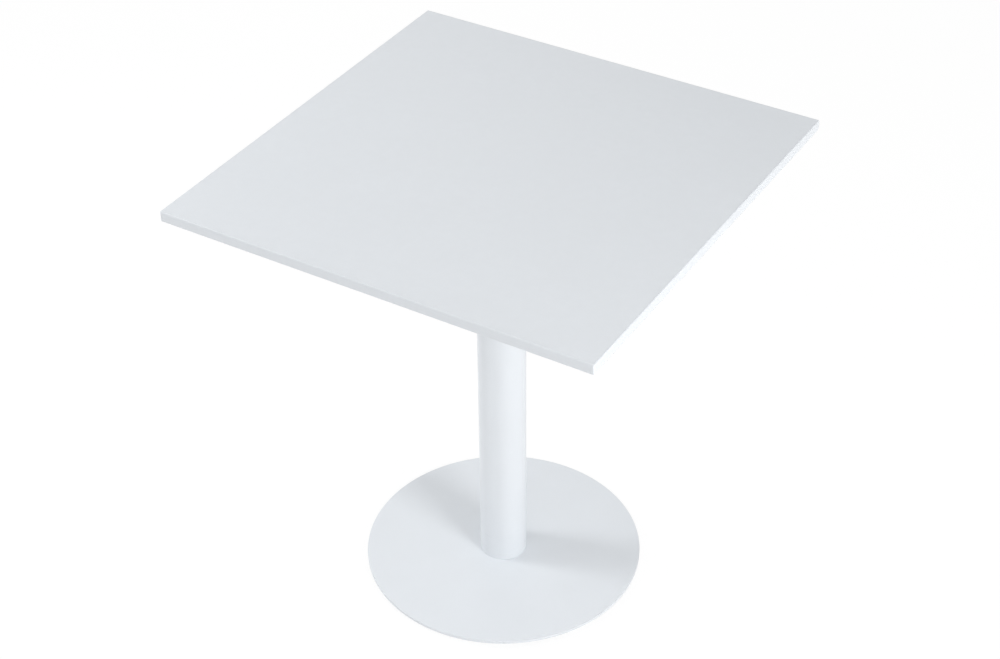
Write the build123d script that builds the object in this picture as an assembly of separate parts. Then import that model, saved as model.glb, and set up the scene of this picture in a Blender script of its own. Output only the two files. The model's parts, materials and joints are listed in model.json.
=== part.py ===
from build123d import *
import os

# Square pedestal table: a laminated board on a steel cross, one round column, a round steel disc and four
# levelling glides. Millimetres, +Z up. The origin is on the floor, on the column's axis. The table's sides
# run along X and Y, and its front is the -Y side.

# Driving dimensions: table top
TOP_SIDE = 700.0
CORE_THICKNESS = 16.0
LAMINATE_THICKNESS = 0.5
BAND_THICKNESS = 2.0
TOP_CORNER_RADIUS = 2.0
BAND_ARRIS_RADIUS = 1.8

# Driving dimensions: column and disc
COLUMN_DIAMETER = 76.1
COLUMN_WALL = 2.0
COLUMN_LENGTH = 726.0
COLUMN_END_ROUNDING = 0.3
DISC_DIAMETER = 455.0
DISC_THICKNESS = 5.0
DISC_EDGE_ROUNDING = 0.5

# Driving dimensions: the steel cross under the top, and the plugs welded into the column's ends
SPIDER_THICKNESS = 5.0
SPIDER_HUB_DIAMETER = 120.0
SPIDER_ARM_WIDTH = 40.0
SPIDER_ARM_REACH = 225.0
SPIDER_HUB_FILLET = 14.0
SPIDER_EDGE_ROUNDING = 0.6
FLANGE_THICKNESS = 10.0
FLANGE_CHAMFER = 0.8
FLANGE_GAP = 0.05
VENT_DIAMETER = 14.0

# Driving dimensions: screws. A screw's shank is drawn at its nominal diameter less the running clearance,
# and a tapped hole at the nominal diameter.
RUNNING_CLEARANCE = 0.05
M8_RADIUS = 4.0
M8_HOLE_CIRCLE = 50.0
M8_CLEARANCE_RADIUS = 4.4
M8_COUNTERSUNK_HEAD_RADIUS = 8.0
M8_COUNTERSUNK_SOCKET = 5.0
M8_COUNTERSUNK_SOCKET_DEPTH = 2.9
M8_SCREW_LENGTH = 16.0
M6_RADIUS = 3.0
M6_CLEARANCE_RADIUS = 3.3
M6_HEAD_RADIUS = 5.25
M6_HEAD_HEIGHT = 3.3
M6_HEAD_ROUNDING = 2.4
M6_SOCKET = 4.0
M6_SOCKET_DEPTH = 2.1
M6_SCREW_LENGTH = 14.0
M6_WASHER_RADIUS = 6.0
M6_WASHER_HOLE_RADIUS = 3.2
M6_WASHER_THICKNESS = 1.6
SCREW_TIP_CHAMFER = 0.8
TOP_SCREW_CIRCLE_RADII = [125.0, 205.0]
INSERT_RADIUS = 4.75
INSERT_LENGTH = 12.0
INSERT_CHAMFER = 0.8

# How far a cutting shape runs past the faces that it cuts through
CUT_OVERRUN = 1.0

# Driving dimensions: levelling glides, and the tapped bosses welded under the disc to hold them
GLIDE_CIRCLE_RADIUS = 200.0
BOSS_HEIGHT = 7.4
BOSS_THICKNESS = 2.6
BOSS_RADIUS = 10.0
BOSS_CHAMFER = 0.5
GLIDE_HOLE_DEPTH = 3.9
GLIDE_THREAD_END_GAP = 0.4
GLIDE_COLLAR_GAP = 0.2
GLIDE_COLLAR_ACROSS_FLATS = 13.0
GLIDE_COLLAR_THICKNESS = 2.0
GLIDE_COLLAR_CHAMFER = 0.6
GLIDE_HEAD_RADIUS = 5.5
GLIDE_HEAD_THICKNESS = 1.8
GLIDE_NECK_RADIUS = 3.5
PAD_RADIUS = 15.0
PAD_FLOOR_HEIGHT = 0.8
PAD_COLLAR_GAP = 0.3
PAD_LIP_THICKNESS = 1.1
PAD_TOP_ROUNDING = 1.5
PAD_BOTTOM_ROUNDING = 0.4
SOLE_RADIUS = 13.5
SOLE_THICKNESS = 1.2
SOLE_EDGE_ROUNDING = 0.3
SOLE_GAP = 0.1

# Heights of the main faces, from the floor up
disc_bottom = BOSS_HEIGHT + BOSS_THICKNESS
disc_top = disc_bottom + DISC_THICKNESS
column_top = disc_top + COLUMN_LENGTH
spider_top = column_top + SPIDER_THICKNESS
core_bottom = spider_top + LAMINATE_THICKNESS
core_top = core_bottom + CORE_THICKNESS
table_top = core_top + LAMINATE_THICKNESS

insert_top = spider_top + INSERT_LENGTH
column_bore_radius = COLUMN_DIAMETER / 2 - COLUMN_WALL
flange_radius = column_bore_radius - FLANGE_GAP
core_side = TOP_SIDE - 2 * BAND_THICKNESS

# Heights of a glide's faces with the glide screwed fully in
collar_top = BOSS_HEIGHT - GLIDE_COLLAR_GAP
collar_bottom = collar_top - GLIDE_COLLAR_THICKNESS
pad_top = collar_bottom - PAD_COLLAR_GAP
head_top = pad_top - PAD_LIP_THICKNESS
head_bottom = head_top - GLIDE_HEAD_THICKNESS
thread_top = disc_bottom + GLIDE_HOLE_DEPTH - GLIDE_THREAD_END_GAP

GLIDE_CORNERS = {
    "front_left": (-1, -1),
    "front_right": (1, -1),
    "back_left": (-1, 1),
    "back_right": (1, 1),
}


def cylinder(radius, bottom, top, x=0.0, y=0.0):
    """Upright cylinder between two heights."""
    return Pos(x, y, bottom) * Cylinder(
        radius, top - bottom, align=(Align.CENTER, Align.CENTER, Align.MIN)
    )


def cone(bottom_radius, top_radius, bottom, top, x=0.0, y=0.0):
    """Upright cone frustum between two heights."""
    return Pos(x, y, bottom) * Cone(
        bottom_radius, top_radius, top - bottom, align=(Align.CENTER, Align.CENTER, Align.MIN)
    )


def square_slab(side, bottom, top):
    """Square plate between two heights, centred on the column's axis."""
    return Pos(0, 0, bottom) * Box(
        side, side, top - bottom, align=(Align.CENTER, Align.CENTER, Align.MIN)
    )


def hexagon_prism(across_flats, bottom, top, x=0.0, y=0.0):
    """Upright hexagonal prism between two heights."""
    outline = RegularPolygon(across_flats / 2, 6, major_radius=False)
    return Pos(x, y, bottom) * extrude(outline, top - bottom)


def flat_ends(shape):
    """The edges of a shape's lowest and highest flat faces."""
    faces = shape.faces().sort_by(Axis.Z)
    return faces[0].edges(), faces[-1].edges()


def drill(radius, bottom, top, x=0.0, y=0.0):
    """Cutting shape for a through hole between two heights."""
    return cylinder(radius, bottom - CUT_OVERRUN, top + CUT_OVERRUN, x, y)


def on_diagonals(radius):
    """The four points at this radius on the table's diagonals."""
    reach = radius / 2**0.5
    return [(sx * reach, sy * reach) for sx, sy in GLIDE_CORNERS.values()]


def top_screw_places():
    """The eight places where the steel cross is screwed to the table top."""
    return [place for radius in TOP_SCREW_CIRCLE_RADII for place in on_diagonals(radius)]


def m8_places():
    """The four M8 holes round the column's axis, shared by the flanges, the cross and the disc."""
    reach = M8_HOLE_CIRCLE / 2
    return [(reach, 0.0), (0.0, reach), (-reach, 0.0), (0.0, -reach)]


def rounded_top_block():
    """The whole table top as one block, with rounded corners and arrises."""
    block = square_slab(TOP_SIDE, spider_top, table_top)
    block = fillet(block.edges().filter_by(Axis.Z), TOP_CORNER_RADIUS)
    lower, upper = flat_ends(block)
    return fillet(lower + upper, BAND_ARRIS_RADIUS)


def edge_bands():
    """Plastic bands round the top. The front and back ones run the full side, the others fit between."""
    inside = square_slab(core_side, spider_top - CUT_OVERRUN, table_top + CUT_OVERRUN)
    ring = rounded_top_block() - inside
    middle = (spider_top + table_top) / 2
    height = 2 * (table_top - spider_top)
    offset = (core_side + BAND_THICKNESS) / 2
    long_box = Box(TOP_SIDE, BAND_THICKNESS, height)
    short_box = Box(BAND_THICKNESS, core_side, height)
    return {
        "edge_band_front": ring & (Pos(0, -offset, middle) * long_box),
        "edge_band_back": ring & (Pos(0, offset, middle) * long_box),
        "edge_band_left": ring & (Pos(-offset, 0, middle) * short_box),
        "edge_band_right": ring & (Pos(offset, 0, middle) * short_box),
    }


def top_core_board():
    """The board inside the top, with blind holes from below for the threaded inserts."""
    board = square_slab(core_side, core_bottom, core_top)
    hole_radius = INSERT_RADIUS + RUNNING_CLEARANCE
    for x, y in top_screw_places():
        board -= cylinder(hole_radius, spider_top, insert_top, x, y)
    return board


def top_laminate():
    """The decor sheet on the upper face."""
    return square_slab(core_side, core_top, table_top)


def underside_laminate():
    """The balancing sheet on the lower face, drilled for the inserts."""
    sheet = square_slab(core_side, spider_top, core_bottom)
    hole_radius = INSERT_RADIUS + RUNNING_CLEARANCE
    for x, y in top_screw_places():
        sheet -= drill(hole_radius, spider_top, core_bottom, x, y)
    return sheet


def top_inserts():
    """Threaded inserts set in the board, flush with its lower face."""
    inserts = []
    for x, y in top_screw_places():
        insert = cylinder(INSERT_RADIUS, spider_top, insert_top, x, y)
        insert = chamfer(flat_ends(insert)[1], INSERT_CHAMFER)
        inserts.append(insert - drill(M6_RADIUS, spider_top, insert_top, x, y))
    return Compound(children=inserts)


def top_screws():
    """Button-head screws that hold the steel cross to the inserts, with hexagon sockets."""
    screws = []
    bearing = column_top - M6_WASHER_THICKNESS
    head_low = bearing - M6_HEAD_HEIGHT
    for x, y in top_screw_places():
        shank = cylinder(M6_RADIUS - RUNNING_CLEARANCE, bearing, bearing + M6_SCREW_LENGTH, x, y)
        shank = chamfer(flat_ends(shank)[1], SCREW_TIP_CHAMFER)
        head = cylinder(M6_HEAD_RADIUS, head_low, bearing, x, y)
        head = fillet(flat_ends(head)[0], M6_HEAD_ROUNDING)
        socket = hexagon_prism(M6_SOCKET, head_low, head_low + M6_SOCKET_DEPTH, x, y)
        screws.append(head + shank - socket)
    return Compound(children=screws)


def top_screw_washers():
    """Flat washers between the screw heads and the steel cross."""
    washers = []
    bottom = column_top - M6_WASHER_THICKNESS
    for x, y in top_screw_places():
        washer = cylinder(M6_WASHER_RADIUS, bottom, column_top, x, y)
        washers.append(washer - drill(M6_WASHER_HOLE_RADIUS, bottom, column_top, x, y))
    return Compound(children=washers)


def top_spider():
    """Flat steel cross with round-ended arms towards the table's corners, bolted to the column's head."""
    hub_radius = SPIDER_HUB_DIAMETER / 2
    outline = Circle(hub_radius)
    for angle in (45, 135):
        straight = 2 * (SPIDER_ARM_REACH - SPIDER_ARM_WIDTH / 2)
        outline += Rot(0, 0, angle) * SlotCenterToCenter(straight, SPIDER_ARM_WIDTH)
    inner_corners = outline.vertices().sort_by(lambda corner: corner.center().length)[:8]
    outline = fillet(inner_corners, SPIDER_HUB_FILLET)
    plate = Pos(0, 0, column_top) * extrude(outline, SPIDER_THICKNESS)
    lower, upper = flat_ends(plate)
    plate = fillet(lower + upper, SPIDER_EDGE_ROUNDING)
    plate -= drill(VENT_DIAMETER / 2, column_top, spider_top)
    for x, y in top_screw_places():
        plate -= drill(M6_CLEARANCE_RADIUS, column_top, spider_top, x, y)
    for x, y in m8_places():
        plate -= drill(M8_CLEARANCE_RADIUS, column_top, spider_top, x, y)
        plate -= countersink(spider_top, -1, x, y)
    return plate


def countersink(face, inwards, x, y):
    """The cone cut for a countersunk M8 head. inwards is -1 for a hole that runs down from the face."""
    depth = M8_COUNTERSUNK_HEAD_RADIUS - M8_RADIUS
    seat = face + inwards * depth
    if inwards < 0:
        return cone(M8_RADIUS, M8_COUNTERSUNK_HEAD_RADIUS, seat, face, x, y)
    return cone(M8_COUNTERSUNK_HEAD_RADIUS, M8_RADIUS, face, seat, x, y)


def countersunk_screw(face, inwards, x, y):
    """M8 countersunk screw with a hexagon socket, its head flush with the face."""
    shank_radius = M8_RADIUS - RUNNING_CLEARANCE
    head_radius = M8_COUNTERSUNK_HEAD_RADIUS - RUNNING_CLEARANCE
    depth = head_radius - shank_radius
    upright = cone(head_radius, shank_radius, 0, depth)
    shank = cylinder(shank_radius, 0, M8_SCREW_LENGTH)
    upright += chamfer(flat_ends(shank)[1], SCREW_TIP_CHAMFER)
    upright -= hexagon_prism(M8_COUNTERSUNK_SOCKET, 0, M8_COUNTERSUNK_SOCKET_DEPTH)
    if inwards < 0:
        upright = Rot(180, 0, 0) * upright
    return Pos(x, y, face) * upright


def spider_screws():
    """Screws from the steel cross down into the column's head flange."""
    return Compound(children=[countersunk_screw(spider_top, -1, x, y) for x, y in m8_places()])


def base_screws():
    """Screws from below the disc up into the column's foot flange."""
    return Compound(children=[countersunk_screw(disc_bottom, 1, x, y) for x, y in m8_places()])


def column_tube():
    """Round steel tube, with its outer end edges slightly rounded."""
    tube = cylinder(COLUMN_DIAMETER / 2, disc_top, column_top)
    lower, upper = flat_ends(tube)
    tube = fillet(lower + upper, COLUMN_END_ROUNDING)
    return tube - drill(column_bore_radius, disc_top, column_top)


def column_flange(bottom):
    """Round plug welded inside an end of the column, with four tapped holes and a vent."""
    top = bottom + FLANGE_THICKNESS
    plug = cylinder(flange_radius, bottom, top)
    lower, upper = flat_ends(plug)
    plug = chamfer(lower + upper, FLANGE_CHAMFER)
    plug -= drill(VENT_DIAMETER / 2, bottom, top)
    for x, y in m8_places():
        plug -= drill(M8_RADIUS, bottom, top, x, y)
    return plug


def base_plate():
    """Round steel disc. All its holes are from below, so its upper face is plain."""
    disc = cylinder(DISC_DIAMETER / 2, disc_bottom, disc_top)
    lower, upper = flat_ends(disc)
    disc = fillet(lower + upper, DISC_EDGE_ROUNDING)
    for x, y in m8_places():
        disc -= drill(M8_CLEARANCE_RADIUS, disc_bottom, disc_top, x, y)
        disc -= countersink(disc_bottom, 1, x, y)
    for x, y in on_diagonals(GLIDE_CIRCLE_RADIUS):
        disc -= cylinder(M8_RADIUS, disc_bottom, disc_bottom + GLIDE_HOLE_DEPTH, x, y)
    return disc


def glide_bosses():
    """Tapped bosses welded under the disc, where a glide's thread needs more depth than the disc has."""
    bosses = []
    for x, y in on_diagonals(GLIDE_CIRCLE_RADIUS):
        boss = cylinder(BOSS_RADIUS, BOSS_HEIGHT, disc_bottom, x, y)
        boss = chamfer(flat_ends(boss)[0], BOSS_CHAMFER)
        bosses.append(boss - drill(M8_RADIUS, BOSS_HEIGHT, disc_bottom, x, y))
    return Compound(children=bosses)


def glide_stud(x, y):
    """Threaded stud with a hexagon collar for a spanner and a round head held in the plastic foot."""
    thread = cylinder(M8_RADIUS - RUNNING_CLEARANCE, collar_top, thread_top)
    thread = chamfer(flat_ends(thread)[1], SCREW_TIP_CHAMFER)
    collar_corner_radius = GLIDE_COLLAR_ACROSS_FLATS / 3**0.5
    turned = cylinder(collar_corner_radius, collar_bottom, collar_top)
    turned = chamfer(flat_ends(turned)[1], GLIDE_COLLAR_CHAMFER)
    turned = chamfer(flat_ends(turned)[0], GLIDE_COLLAR_CHAMFER)
    collar = hexagon_prism(GLIDE_COLLAR_ACROSS_FLATS, collar_bottom, collar_top) & turned
    neck = cylinder(GLIDE_NECK_RADIUS, head_top, collar_bottom)
    head = cylinder(GLIDE_HEAD_RADIUS, head_bottom, head_top)
    return Pos(x, y, 0) * (thread + collar + neck + head)


def glide_pad(x, y):
    """Plastic foot, moulded round the stud's head so that the stud turns in it."""
    pad = cylinder(PAD_RADIUS, PAD_FLOOR_HEIGHT, pad_top)
    pad = fillet(flat_ends(pad)[1], PAD_TOP_ROUNDING)
    pad = fillet(flat_ends(pad)[0], PAD_BOTTOM_ROUNDING)
    pocket_bottom = head_bottom - RUNNING_CLEARANCE
    pocket_top = head_top + RUNNING_CLEARANCE
    pad -= cylinder(GLIDE_HEAD_RADIUS + RUNNING_CLEARANCE, pocket_bottom, pocket_top)
    pad -= cylinder(GLIDE_NECK_RADIUS + RUNNING_CLEARANCE, head_top, pad_top)
    pad -= cylinder(SOLE_RADIUS + SOLE_GAP, 0, SOLE_THICKNESS)
    return Pos(x, y, 0) * pad


def glide_sole(x, y):
    """Soft sole let into the foot's underside. It stands on the floor."""
    sole = cylinder(SOLE_RADIUS, 0, SOLE_THICKNESS)
    sole = fillet(flat_ends(sole)[0], SOLE_EDGE_ROUNDING)
    return Pos(x, y, 0) * sole


def all_pieces():
    """Every node's name and shape."""
    pieces = {
        "top_core_board": top_core_board(),
        "top_laminate": top_laminate(),
        "underside_laminate": underside_laminate(),
        "top_inserts": top_inserts(),
        "top_screws": top_screws(),
        "top_screw_washers": top_screw_washers(),
        "top_spider": top_spider(),
        "spider_screws": spider_screws(),
        "column_tube": column_tube(),
        "column_head_flange": column_flange(column_top - FLANGE_THICKNESS),
        "column_foot_flange": column_flange(disc_top),
        "base_plate": base_plate(),
        "base_screws": base_screws(),
        "glide_bosses": glide_bosses(),
    }
    pieces.update(edge_bands())
    for corner, (x, y) in zip(GLIDE_CORNERS, on_diagonals(GLIDE_CIRCLE_RADIUS)):
        pieces["glide_stud_" + corner] = glide_stud(x, y)
        pieces["glide_pad_" + corner] = glide_pad(x, y)
        pieces["glide_sole_" + corner] = glide_sole(x, y)
    return pieces


os.makedirs("parts", exist_ok=True)
for name, shape in all_pieces().items():
    export_step(shape, "parts/" + name + ".step")
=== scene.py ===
import bpy
import bmesh
import json
import math
from mathutils import Matrix, Vector

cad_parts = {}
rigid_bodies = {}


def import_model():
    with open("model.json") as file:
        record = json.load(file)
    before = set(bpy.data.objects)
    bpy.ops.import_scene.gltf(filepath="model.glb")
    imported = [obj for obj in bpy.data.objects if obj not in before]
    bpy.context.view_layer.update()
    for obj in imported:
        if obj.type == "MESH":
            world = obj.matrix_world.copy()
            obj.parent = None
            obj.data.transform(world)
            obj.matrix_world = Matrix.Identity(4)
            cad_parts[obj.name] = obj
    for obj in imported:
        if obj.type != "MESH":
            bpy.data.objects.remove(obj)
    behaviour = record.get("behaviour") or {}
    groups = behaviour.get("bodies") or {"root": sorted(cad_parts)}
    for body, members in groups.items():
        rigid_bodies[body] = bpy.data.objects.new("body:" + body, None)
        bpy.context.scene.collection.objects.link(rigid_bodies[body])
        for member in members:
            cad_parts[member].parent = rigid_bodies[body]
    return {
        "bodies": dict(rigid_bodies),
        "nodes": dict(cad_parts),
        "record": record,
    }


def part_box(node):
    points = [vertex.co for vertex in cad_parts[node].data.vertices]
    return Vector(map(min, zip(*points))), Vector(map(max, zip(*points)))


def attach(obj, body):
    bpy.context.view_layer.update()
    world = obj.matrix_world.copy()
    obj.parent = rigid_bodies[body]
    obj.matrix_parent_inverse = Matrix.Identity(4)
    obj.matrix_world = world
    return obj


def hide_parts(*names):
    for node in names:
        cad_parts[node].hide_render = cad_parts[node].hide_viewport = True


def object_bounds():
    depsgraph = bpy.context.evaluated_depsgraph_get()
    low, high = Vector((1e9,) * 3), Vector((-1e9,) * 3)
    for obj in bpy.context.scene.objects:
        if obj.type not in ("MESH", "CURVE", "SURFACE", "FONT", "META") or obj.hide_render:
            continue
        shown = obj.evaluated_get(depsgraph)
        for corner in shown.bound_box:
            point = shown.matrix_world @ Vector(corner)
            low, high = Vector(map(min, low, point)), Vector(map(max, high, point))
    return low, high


# A bistro table's materials and threaded glide studs on its CAD frame, with a floor, lights and a camera
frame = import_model()
cad_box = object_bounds()

MM = 0.001
CORNERS = ("front_left", "front_right", "back_left", "back_right")

# Paints, plastics and metal, as linear colours. The whites lean slightly to blue.
WHITE_LAMINATE = (0.775, 0.806, 0.840)
WHITE_BAND = (0.758, 0.788, 0.822)
WHITE_POWDER = (0.775, 0.806, 0.840)
UNDERSIDE_WHITE = (0.74, 0.75, 0.76)
ZINC = (0.62, 0.63, 0.64)
ZINC_YELLOWED = (0.64, 0.63, 0.58)
NYLON = (0.030, 0.031, 0.033)
FELT = (0.105, 0.100, 0.095)
CHIP_DARK = (0.19, 0.105, 0.045)
CHIP_LIGHT = (0.52, 0.36, 0.19)

# Places that patterns and wear depend on, from the CAD frame
TABLE_TOP = cad_box[1].z
BAND_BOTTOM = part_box("edge_band_front")[0].z
LAMINATE_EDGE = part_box("top_laminate")[1].x
SPIDER_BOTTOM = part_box("top_spider")[0].z
COLUMN_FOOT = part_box("column_tube")[0].z
DISC_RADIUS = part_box("base_plate")[1].x
PAD_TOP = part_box("glide_pad_front_left")[1].z

# How far seams and wear reach from those places. A pair is where one begins and where it is full.
RUBBED_BORDER = 14 * MM
SEAM = (0.25 * MM, 0.1 * MM)
BAND_SCUFFS = (1.3 * MM, 0.3 * MM)
DISC_RIM_MARKS = (2.5 * MM, 0.5 * MM)
COLUMN_FOOT_SCUFFS = (90 * MM, 5 * MM)
SPIDER_EDGE_MARKS = (0.9 * MM, 0.3 * MM)
PAD_TOP_RUBBED = (1.2 * MM, 0.2 * MM)


class Nodes:
    """A material's node tree, with short calls for the nodes that the materials here share."""

    def __init__(self, name):
        self.material = bpy.data.materials.new(name)
        self.material.use_nodes = True
        self.tree = self.material.node_tree
        self.shader = self.tree.nodes["Principled BSDF"]
        self.place = self.tree.nodes.new("ShaderNodeTexCoord").outputs["Object"]

    def link(self, value, socket):
        """Joins an output to a socket, or sets the socket to a plain value."""
        if isinstance(value, bpy.types.NodeSocket):
            self.tree.links.new(value, socket)
        elif isinstance(value, tuple) and len(value) == 3 and socket.type == "RGBA":
            socket.default_value = (*value, 1.0)
        else:
            socket.default_value = value

    def math(self, operation, first, second=0.0):
        """One sum on numbers."""
        node = self.tree.nodes.new("ShaderNodeMath")
        node.operation = operation
        self.link(first, node.inputs[0])
        self.link(second, node.inputs[1])
        return node.outputs[0]

    def ramp(self, value, low, high, to_low=0.0, to_high=1.0):
        """Maps low..high smoothly to to_low..to_high, and holds the ends."""
        node = self.tree.nodes.new("ShaderNodeMapRange")
        node.interpolation_type = "SMOOTHSTEP"
        self.link(value, node.inputs["Value"])
        node.inputs["From Min"].default_value = low
        node.inputs["From Max"].default_value = high
        node.inputs["To Min"].default_value = to_low
        node.inputs["To Max"].default_value = to_high
        return node.outputs["Result"]

    def mix(self, amount, first, second, blend="MIX"):
        """Mixes two colours."""
        node = self.tree.nodes.new("ShaderNodeMix")
        node.data_type = "RGBA"
        node.blend_type = blend
        self.link(amount, node.inputs["Factor"])
        self.link(first, node.inputs["A"])
        self.link(second, node.inputs["B"])
        return node.outputs["Result"]

    def mix_shaders(self, amount, first, second):
        """Mixes two shaders."""
        node = self.tree.nodes.new("ShaderNodeMixShader")
        self.link(amount, node.inputs[0])
        self.link(first, node.inputs[1])
        self.link(second, node.inputs[2])
        return node.outputs[0]

    def stretched(self, scale, turn=0.0):
        """The place on the object, scaled along each axis and turned about Z."""
        node = self.tree.nodes.new("ShaderNodeMapping")
        self.link(self.place, node.inputs["Vector"])
        node.inputs["Rotation"].default_value = (0.0, 0.0, turn)
        node.inputs["Scale"].default_value = scale
        return node.outputs["Vector"]

    def noise(self, size, detail=2.0, roughness=0.5, distortion=0.0, place=None):
        """Noise from 0 to 1 whose features are about this size, in metres."""
        node = self.tree.nodes.new("ShaderNodeTexNoise")
        self.link(place or self.place, node.inputs["Vector"])
        node.inputs["Scale"].default_value = 1.0 / size
        node.inputs["Detail"].default_value = detail
        node.inputs["Roughness"].default_value = roughness
        node.inputs["Distortion"].default_value = distortion
        return node.outputs["Fac"]

    def cells(self, size, output="Distance", place=None):
        """Voronoi cells of about this size, in metres."""
        node = self.tree.nodes.new("ShaderNodeTexVoronoi")
        self.link(place or self.place, node.inputs["Vector"])
        node.inputs["Scale"].default_value = 1.0 / size
        return node.outputs[output]

    def axes(self):
        """The place on the object as three numbers."""
        node = self.tree.nodes.new("ShaderNodeSeparateXYZ")
        self.link(self.place, node.inputs[0])
        return node.outputs

    def radius(self):
        """Distance from the column's axis."""
        x, y, _ = self.axes()
        squares = self.math("ADD", self.math("MULTIPLY", x, x), self.math("MULTIPLY", y, y))
        return self.math("SQRT", squares)

    def bump(self, height, depth, strength=1.0, under=None):
        """Surface relief this deep, in metres, where height goes from 0 to 1."""
        node = self.tree.nodes.new("ShaderNodeBump")
        node.inputs["Strength"].default_value = strength
        node.inputs["Distance"].default_value = depth
        self.link(height, node.inputs["Height"])
        if under is not None:
            self.link(under, node.inputs["Normal"])
        return node.outputs["Normal"]

    def finish(self, color, roughness, normal, metallic=0.0, **extra):
        """Sets the surface and gives the material back."""
        self.link(color, self.shader.inputs["Base Color"])
        self.link(roughness, self.shader.inputs["Roughness"])
        self.link(normal, self.shader.inputs["Normal"])
        self.link(metallic, self.shader.inputs["Metallic"])
        for name, value in extra.items():
            self.link(value, self.shader.inputs[name.replace("_", " ")])
        return self.material


def scaled(color, factor):
    """A lighter or darker shade of a colour."""
    return tuple(channel * factor for channel in color)


def laminate_material(name, color):
    """Matt decor laminate: a fine pearl grain, faint clouding, wiping streaks and a hairline seam."""
    n = Nodes(name)
    clouds = n.noise(0.16, detail=5.0, roughness=0.6, distortion=0.8)
    mottle = n.noise(0.012, detail=3.0)
    grain = n.noise(0.0009, detail=2.0)
    surface = n.mix(n.ramp(clouds, 0.35, 0.65), scaled(color, 0.997), scaled(color, 1.010))
    surface = n.mix(n.ramp(mottle, 0.3, 0.7, 0.0, 0.35), surface, scaled(color, 0.975))
    surface = n.mix(n.ramp(grain, 0.35, 0.65, 0.0, 0.25), surface, scaled(color, 0.94))
    x, y, _ = n.axes()
    reach = n.math("MAXIMUM", n.math("ABSOLUTE", x), n.math("ABSOLUTE", y))
    border = n.ramp(reach, LAMINATE_EDGE - RUBBED_BORDER, LAMINATE_EDGE)
    rubbed = n.math("MULTIPLY", border, n.ramp(mottle, 0.45, 0.6))
    surface = n.mix(n.math("MULTIPLY", rubbed, 0.15), surface, scaled(color, 0.90))
    seam = n.ramp(reach, LAMINATE_EDGE - SEAM[0], LAMINATE_EDGE - SEAM[1])
    surface = n.mix(n.math("MULTIPLY", seam, 0.5), surface, scaled(color, 0.55))
    streaks = n.noise(1.0, detail=3.0, place=n.stretched((4.0, 90.0, 4.0), turn=math.radians(34)))
    wiped = n.ramp(streaks, 0.3, 0.7, -0.02, 0.02)
    roughness = n.math("ADD", n.ramp(clouds, 0.3, 0.7, 0.40, 0.48), wiped)
    pearl = n.bump(n.noise(0.0014, detail=3.0), 0.06 * MM, 0.5)
    normal = n.bump(n.noise(0.006, detail=2.0), 0.05 * MM, 0.3, under=pearl)
    return n.finish(surface, roughness, normal)


def edge_band_material():
    """Moulded plastic band: lines along its length from the extruding, and scuffs on its rounded edges."""
    n = Nodes("edge_band")
    lines = n.noise(1.0, detail=2.0, place=n.stretched((5.0, 5.0, 1400.0)))
    blotches = n.noise(0.02, detail=3.0)
    surface = n.mix(n.ramp(lines, 0.35, 0.65, 0.0, 0.3), WHITE_BAND, scaled(WHITE_BAND, 0.965))
    surface = n.mix(n.ramp(blotches, 0.35, 0.65, 0.0, 0.3), surface, scaled(WHITE_BAND, 0.975))
    _, _, z = n.axes()
    middle = (TABLE_TOP + BAND_BOTTOM) / 2
    half = TABLE_TOP - middle
    from_middle = n.math("ABSOLUTE", n.math("SUBTRACT", z, middle))
    arris = n.ramp(from_middle, half - BAND_SCUFFS[0], half - BAND_SCUFFS[1])
    scuffs = n.math("MULTIPLY", arris, n.ramp(n.noise(0.012, detail=4.0), 0.5, 0.75))
    surface = n.mix(n.math("MULTIPLY", scuffs, 0.2), surface, scaled(WHITE_BAND, 0.88))
    smooth = n.ramp(blotches, 0.3, 0.7, 0.285, 0.33)
    roughness = n.math("ADD", smooth, n.math("MULTIPLY", scuffs, 0.12))
    fine = n.bump(lines, 0.03 * MM, 0.35)
    normal = n.bump(n.noise(0.009, detail=2.0), 0.08 * MM, 0.25, under=fine)
    return n.finish(surface, roughness, normal)


def powder_coat(n, color, worn):
    """White powder coat: orange peel at two scales, faint clouding, and grey rub marks where worn is 1."""
    clouds = n.noise(0.07, detail=4.0)
    specks = n.noise(0.0011, detail=2.0)
    peel = n.noise(0.0032, detail=2.0)
    surface = n.mix(n.ramp(clouds, 0.35, 0.65), scaled(color, 0.996), scaled(color, 1.008))
    surface = n.mix(n.ramp(specks, 0.4, 0.65, 0.0, 0.22), surface, scaled(color, 0.95))
    surface = n.mix(n.math("MULTIPLY", worn, 0.25), surface, scaled(color, 0.78))
    roughness = n.math("ADD", n.ramp(clouds, 0.3, 0.7, 0.36, 0.43), n.math("MULTIPLY", worn, 0.12))
    fine = n.bump(specks, 0.03 * MM, 0.35)
    normal = n.bump(peel, 0.10 * MM, 0.45, under=fine)
    return n.finish(surface, roughness, normal)


def base_material():
    """The disc's powder coat, rubbed by shoes on its rim."""
    n = Nodes("base_powder_coat")
    near_rim = n.ramp(n.radius(), DISC_RADIUS - DISC_RIM_MARKS[0], DISC_RADIUS - DISC_RIM_MARKS[1])
    marks = n.ramp(n.noise(0.009, detail=4.0, roughness=0.65), 0.57, 0.69)
    return powder_coat(n, WHITE_POWDER, n.math("MULTIPLY", near_rim, marks))


def column_material():
    """The column's powder coat, with a few scuffs near its foot."""
    n = Nodes("column_powder_coat")
    _, _, z = n.axes()
    low = n.ramp(z, COLUMN_FOOT + COLUMN_FOOT_SCUFFS[0], COLUMN_FOOT + COLUMN_FOOT_SCUFFS[1])
    marks = n.noise(1.0, detail=4.0, place=n.stretched((60.0, 60.0, 260.0)))
    return powder_coat(n, WHITE_POWDER, n.math("MULTIPLY", low, n.ramp(marks, 0.62, 0.72)))


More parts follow.
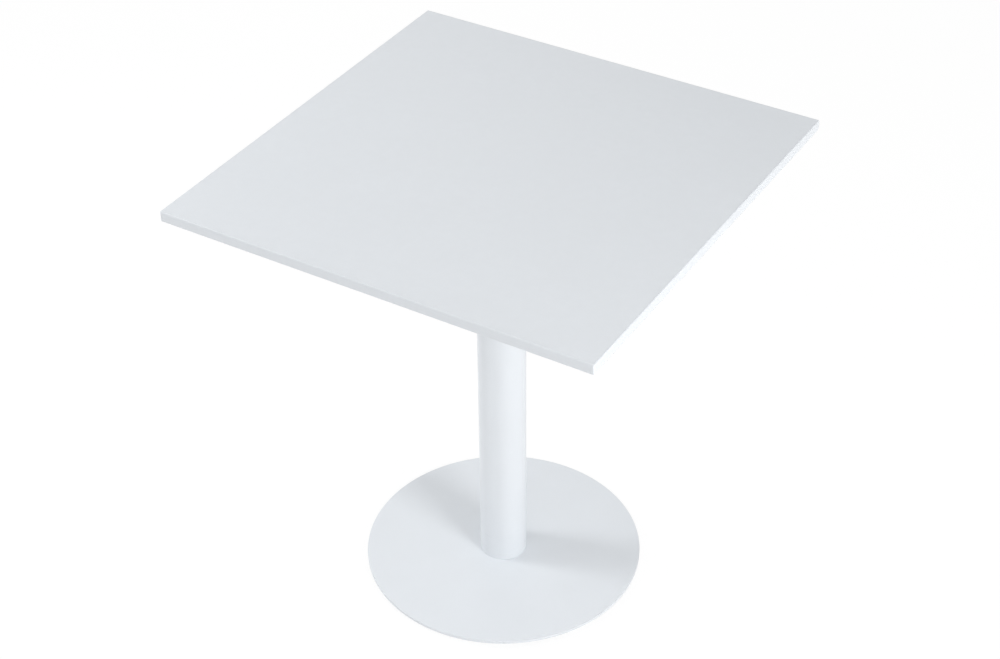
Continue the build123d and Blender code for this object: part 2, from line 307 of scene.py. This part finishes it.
def spider_material():
    """The cross's powder coat, rubbed thin along its edges."""
    n = Nodes("spider_powder_coat")
    _, _, z = n.axes()
    edge = n.ramp(z, SPIDER_BOTTOM + SPIDER_EDGE_MARKS[0], SPIDER_BOTTOM + SPIDER_EDGE_MARKS[1])
    marks = n.ramp(n.noise(0.006, detail=4.0), 0.6, 0.7)
    return powder_coat(n, WHITE_POWDER, n.math("MULTIPLY", edge, marks))


def flange_material():
    """Thin powder coat that has run unevenly over the flanges inside the column."""
    n = Nodes("flange_powder_coat")
    return powder_coat(n, UNDERSIDE_WHITE, n.ramp(n.noise(0.008, detail=4.0), 0.45, 0.7))


def zinc_material(name, grain):
    """Bright zinc plating: grey crystals, a slight yellow tint in patches, and fine turning marks."""
    n = Nodes(name)
    crystals = n.cells(grain, output="Color")
    patches = n.noise(0.004, detail=3.0)
    tint = n.mix(n.ramp(patches, 0.4, 0.65), scaled(ZINC, 0.92), ZINC_YELLOWED)
    surface = n.mix(0.12, tint, crystals, blend="SOFT_LIGHT")
    scratches = n.noise(1.0, detail=2.0, place=n.stretched((900.0, 900.0, 5000.0)))
    scratched = n.ramp(scratches, 0.3, 0.7, 0.0, 0.08)
    roughness = n.math("ADD", n.ramp(patches, 0.3, 0.7, 0.29, 0.37), scratched)
    normal = n.bump(scratches, 0.02 * MM, 0.4)
    return n.finish(surface, roughness, normal, metallic=1.0)


def nylon_material():
    """Dark grey moulded nylon with a fine spark-eroded grain, greyer where it is rubbed."""
    n = Nodes("glide_nylon")
    grain = n.noise(0.0006, detail=3.0)
    patches = n.noise(0.006, detail=3.0)
    surface = n.mix(n.ramp(grain, 0.35, 0.7, 0.0, 0.5), NYLON, scaled(NYLON, 1.6))
    _, _, z = n.axes()
    near_top = n.ramp(z, PAD_TOP - PAD_TOP_RUBBED[0], PAD_TOP - PAD_TOP_RUBBED[1])
    rubbed = n.math("MULTIPLY", near_top, n.ramp(patches, 0.4, 0.6))
    surface = n.mix(n.math("MULTIPLY", rubbed, 0.5), surface, scaled(NYLON, 2.6))
    roughness = n.ramp(patches, 0.3, 0.7, 0.46, 0.58)
    return n.finish(surface, roughness, n.bump(grain, 0.05 * MM, 0.6))


def felt_material():
    """Dense grey felt: pressed fibres of lighter and darker wool."""
    n = Nodes("glide_sole")
    fibres = n.noise(0.0007, detail=4.0, roughness=0.7, distortion=2.5)
    tufts = n.noise(0.003, detail=3.0)
    surface = n.mix(n.ramp(fibres, 0.35, 0.65), scaled(FELT, 0.7), scaled(FELT, 1.5))
    surface = n.mix(n.ramp(tufts, 0.4, 0.65, 0.0, 0.4), surface, scaled(FELT, 0.8))
    roughness = n.ramp(tufts, 0.3, 0.7, 0.88, 0.98)
    return n.finish(surface, roughness, n.bump(fibres, 0.25 * MM, 0.8), Sheen_Weight=0.25)


def board_material():
    """Pressed particle board: small wood chips, light and dark, in a brown ground."""
    n = Nodes("core_board")
    flat = n.stretched((1.0, 1.0, 2.5))
    chips = n.cells(0.004, output="Color", place=flat)
    dust = n.noise(0.0012, detail=4.0, place=flat)
    surface = n.mix(chips, CHIP_DARK, CHIP_LIGHT)
    surface = n.mix(n.ramp(dust, 0.35, 0.65, 0.0, 0.6), surface, scaled(CHIP_LIGHT, 0.75))
    relief = n.math("ADD", n.cells(0.004, place=flat), dust)
    return n.finish(surface, n.ramp(dust, 0.3, 0.7, 0.72, 0.9), n.bump(relief, 0.3 * MM, 0.7))


def dress(materials):
    """Gives each CAD node its material, by the record's material slot."""
    for part in frame["record"]["subparts"]:
        mesh = frame["nodes"][part["node"]].data
        mesh.materials.clear()
        mesh.materials.append(materials[part["material_slot"]])


def all_materials():
    """Every material, by the name of its slot."""
    return {
        "top_laminate": laminate_material("top_laminate", WHITE_LAMINATE),
        "underside_laminate": laminate_material("underside_laminate", UNDERSIDE_WHITE),
        "core_board": board_material(),
        "edge_band": edge_band_material(),
        "zinc_hardware": zinc_material("zinc_hardware", 0.0012),
        "spider_powder_coat": spider_material(),
        "column_powder_coat": column_material(),
        "flange_powder_coat": flange_material(),
        "base_powder_coat": base_material(),
        "glide_steel": zinc_material("glide_steel", 0.0008),
        "glide_nylon": nylon_material(),
        "glide_sole": felt_material(),
    }


# The glides' studs, in millimetres, with the M8 thread that the CAD frame leaves out
STUD_HEAD_RADIUS = 5.5
STUD_HEAD_THICKNESS = 1.8
STUD_NECK_RADIUS = 3.5
STUD_NECK_LENGTH = 1.4
STUD_COLLAR_FLATS = 13.0
STUD_COLLAR_THICKNESS = 2.0
STUD_COLLAR_CHAMFER = 0.6
STUD_TIP_CHAMFER = 0.8
THREAD_RADIUS = 3.95
THREAD_PITCH = 1.25
THREAD_DEPTH = 0.75
RINGS_PER_PITCH = 12
POINTS_PER_RING = 72
SHARP_EDGE = math.radians(35)


def turned(name, stations):
    """A closed shape about an upright axis. A station is a height and a function from angle to radius."""
    shape = bmesh.new()
    rings = []
    for height, radius in stations:
        ring = []
        for step in range(POINTS_PER_RING):
            angle = math.tau * step / POINTS_PER_RING
            reach = radius(angle)
            place = Vector((reach * math.cos(angle), reach * math.sin(angle), height))
            ring.append(shape.verts.new(place * MM))
        rings.append(ring)
    for lower, upper in zip(rings, rings[1:]):
        for step in range(POINTS_PER_RING):
            after = (step + 1) % POINTS_PER_RING
            shape.faces.new((lower[step], lower[after], upper[after], upper[step]))
    shape.faces.new(list(reversed(rings[0])))
    shape.faces.new(rings[-1])
    mesh = bpy.data.meshes.new(name)
    shape.to_mesh(mesh)
    shape.free()
    mesh.polygons.foreach_set("use_smooth", [True] * len(mesh.polygons))
    mesh.set_sharp_from_angle(angle=SHARP_EDGE)
    piece = bpy.data.objects.new(name, mesh)
    bpy.context.scene.collection.objects.link(piece)
    return piece


def circle(radius):
    """The same radius at every angle."""
    return lambda angle: radius


def hexagon(across_flats, most):
    """Radius of a hexagon's side, cut off where it would pass the radius most, as a chamfer cuts it."""
    return lambda angle: min(most, across_flats / 2 / math.cos(angle % (math.pi / 3) - math.pi / 6))


def thread_ring(height, major):
    """Radius of a right-hand thread at one height, where major is its crest's radius."""

    def radius(angle):
        turns = height / THREAD_PITCH - angle / math.tau
        return major - THREAD_DEPTH * abs(2 * (turns % 1) - 1)

    return radius


def stud_stations(bottom, top):
    """A stud from its captured head, through its neck and hexagon collar, to the thread's tip."""
    head_top = bottom + STUD_HEAD_THICKNESS
    collar_low = head_top + STUD_NECK_LENGTH
    collar_high = collar_low + STUD_COLLAR_THICKNESS
    corner = STUD_COLLAR_FLATS / 2 / math.cos(math.pi / 6)
    cut = corner - STUD_COLLAR_CHAMFER
    stations = [
        (bottom, circle(STUD_HEAD_RADIUS)),
        (head_top, circle(STUD_HEAD_RADIUS)),
        (head_top, circle(STUD_NECK_RADIUS)),
        (collar_low, circle(STUD_NECK_RADIUS)),
        (collar_low, hexagon(STUD_COLLAR_FLATS, cut)),
        (collar_low + STUD_COLLAR_CHAMFER, hexagon(STUD_COLLAR_FLATS, corner)),
        (collar_high - STUD_COLLAR_CHAMFER, hexagon(STUD_COLLAR_FLATS, corner)),
        (collar_high, hexagon(STUD_COLLAR_FLATS, cut)),
    ]
    count = round((top - collar_high) / THREAD_PITCH * RINGS_PER_PITCH)
    for step in range(count + 1):
        height = collar_high + (top - collar_high) * step / count
        tip = min(0.0, top - STUD_TIP_CHAMFER - height)
        stations.append((height, thread_ring(height, THREAD_RADIUS + tip)))
    return stations


def make_studs(material):
    """The threaded studs, each on the axis that it turns on."""
    for corner in CORNERS:
        node = "glide_stud_" + corner
        low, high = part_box(node)
        stud = turned("glide_threaded_stud_" + corner, stud_stations(low.z / MM, high.z / MM))
        stud.location = ((low.x + high.x) / 2, (low.y + high.y) / 2, 0.0)
        stud.data.materials.append(material)
        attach(stud, "stud_" + corner)
        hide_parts(node)


# The camera, in front of the table, to its right and above it
CAMERA_PLACE = Vector((1.3061, -2.1417, 2.3287))
CAMERA_FORWARD = Vector((-0.41848, 0.68465, -0.59677))
CAMERA_RIGHT = Vector((0.85633, 0.51637, -0.00808))
CAMERA_LENS = 72.85
CAMERA_SENSOR = 36.0
CAMERA_AZIMUTH = math.atan2(CAMERA_PLACE.x, -CAMERA_PLACE.y)


def make_camera():
    """The scene's camera."""
    data = bpy.data.cameras.new("camera")
    data.sensor_width = CAMERA_SENSOR
    data.lens = CAMERA_LENS
    camera = bpy.data.objects.new("camera", data)
    bpy.context.scene.collection.objects.link(camera)
    up = CAMERA_RIGHT.cross(CAMERA_FORWARD)
    facing = Matrix((CAMERA_RIGHT, up, -CAMERA_FORWARD)).transposed().to_4x4()
    camera.matrix_world = Matrix.Translation(CAMERA_PLACE) @ facing
    bpy.context.scene.camera = camera


# Soft boxes: degrees to the right of the camera, degrees up, metres away, width, height and watts
SOFTBOXES = {
    "right_strip": (39.5, 21, 3.0, 1.0, 1.2, 44.5),
    "left_strip": (-101, 21, 3.0, 0.7, 1.2, 25.0),
    "back": (180, 30, 3.0, 1.0, 1.0, 2.5),
    "near_left": (-95, 45, 1.9, 0.8, 0.8, 4.5),
    "near_front": (-20, 50, 1.9, 0.8, 0.8, 1.3),
}
LIGHT_TARGET = Vector((0.0, 0.0, 0.45))

# The room: its strength as a light, and how bright the camera sees it at the horizon and above. The
# change of brightness lies between two heights of the view's direction.
ROOM_LIGHT = 0.57
WALL_AT_HORIZON = 0.96
WALL_ABOVE = 0.78
WALL_CHANGE = (-0.02, 0.10)

# The floor: its paint, the strength of its glow and the glow's share of what is seen, and half its side
FLOOR_PAINT = (0.8, 0.8, 0.8)
FLOOR_ROUGHNESS = 0.9
FLOOR_GLOW = 1.06
FLOOR_GLOW_SHARE = 0.85
FLOOR_REACH = 15.0


def make_softboxes():
    """Soft lights that face the table and aren't seen themselves."""
    for name, (azimuth, elevation, away, width, height, watts) in SOFTBOXES.items():
        data = bpy.data.lights.new(name, "AREA")
        data.shape = "RECTANGLE"
        data.size = width
        data.size_y = height
        data.energy = watts
        light = bpy.data.objects.new(name, data)
        bpy.context.scene.collection.objects.link(light)
        turn = CAMERA_AZIMUTH + math.radians(azimuth)
        rise = math.radians(elevation)
        outwards = Vector(
            (math.sin(turn) * math.cos(rise), -math.cos(turn) * math.cos(rise), math.sin(rise))
        )
        light.location = LIGHT_TARGET + outwards * away
        light.rotation_mode = "QUATERNION"
        light.rotation_quaternion = (-outwards).to_track_quat("-Z", "Y")
        light.visible_camera = False


def make_surroundings():
    """A white room that is dim as a light. The camera sees it brighter, and greyer above the horizon."""
    world = bpy.data.worlds.new("room")
    world.use_nodes = True
    bpy.context.scene.world = world
    tree = world.node_tree
    seen = tree.nodes.new("ShaderNodeLightPath").outputs["Is Camera Ray"]
    direction = tree.nodes.new("ShaderNodeSeparateXYZ")
    tree.links.new(tree.nodes.new("ShaderNodeTexCoord").outputs["Generated"], direction.inputs[0])
    wall = tree.nodes.new("ShaderNodeMapRange")
    wall.interpolation_type = "SMOOTHSTEP"
    wall.inputs["From Min"].default_value = WALL_CHANGE[0]
    wall.inputs["From Max"].default_value = WALL_CHANGE[1]
    wall.inputs["To Min"].default_value = WALL_AT_HORIZON
    wall.inputs["To Max"].default_value = WALL_ABOVE
    tree.links.new(direction.outputs["Z"], wall.inputs["Value"])
    strength = tree.nodes.new("ShaderNodeMapRange")
    strength.inputs["To Min"].default_value = ROOM_LIGHT
    tree.links.new(wall.outputs["Result"], strength.inputs["To Max"])
    tree.links.new(seen, strength.inputs["Value"])
    tree.nodes["Background"].inputs["Color"].default_value = (1.0, 1.0, 1.0, 1.0)
    tree.links.new(strength.outputs["Result"], tree.nodes["Background"].inputs["Strength"])
    bpy.context.scene.view_settings.view_transform = "Standard"


def floor_material():
    """Pale paint that glows for the camera and in reflections. It is clear from below, and light passes
    through it under the disc, so that the table's underside is seen."""
    n = Nodes("floor")
    n.link(FLOOR_PAINT, n.shader.inputs["Base Color"])
    n.link(FLOOR_ROUGHNESS, n.shader.inputs["Roughness"])
    glow = n.tree.nodes.new("ShaderNodeEmission")
    n.link(FLOOR_GLOW, glow.inputs["Strength"])
    clear = n.tree.nodes.new("ShaderNodeBsdfTransparent")
    ray = n.tree.nodes.new("ShaderNodeLightPath").outputs
    from_below = n.tree.nodes.new("ShaderNodeNewGeometry").outputs["Backfacing"]
    looking = n.math("MAXIMUM", ray["Is Camera Ray"], ray["Is Glossy Ray"])
    share = n.math("MULTIPLY", looking, FLOOR_GLOW_SHARE)
    lit = n.mix_shaders(share, n.shader.outputs[0], glow.outputs[0])
    under_disc = n.math("LESS_THAN", n.radius(), DISC_RADIUS)
    opened = n.math("MAXIMUM", from_below, n.math("SUBTRACT", under_disc, ray["Is Camera Ray"]))
    whole = n.mix_shaders(opened, lit, clear.outputs[0])
    n.link(whole, n.tree.nodes["Material Output"].inputs["Surface"])
    return n.material


def make_floor():
    """A plain pale floor under the glides."""
    mesh = bpy.data.meshes.new("floor")
    shape = bmesh.new()
    bmesh.ops.create_grid(shape, x_segments=1, y_segments=1, size=FLOOR_REACH)
    shape.to_mesh(mesh)
    shape.free()
    floor = bpy.data.objects.new("floor", mesh)
    bpy.context.scene.collection.objects.link(floor)
    mesh.materials.append(floor_material())
    keep_under_feet(floor)


def keep_under_feet(floor):
    """Holds the floor under the lowest foot, so that a glide that is screwed out still stands on it."""
    drop = floor.driver_add("location", 2).driver
    drop.type = "MIN"
    for corner in CORNERS:
        height = drop.variables.new()
        height.name = corner
        height.type = "TRANSFORMS"
        height.targets[0].id = frame["bodies"]["foot_" + corner]
        height.targets[0].transform_type = "LOC_Z"
        height.targets[0].transform_space = "WORLD_SPACE"


materials = all_materials()
dress(materials)
make_studs(materials["glide_steel"])
make_floor()
make_surroundings()
make_softboxes()
make_camera()
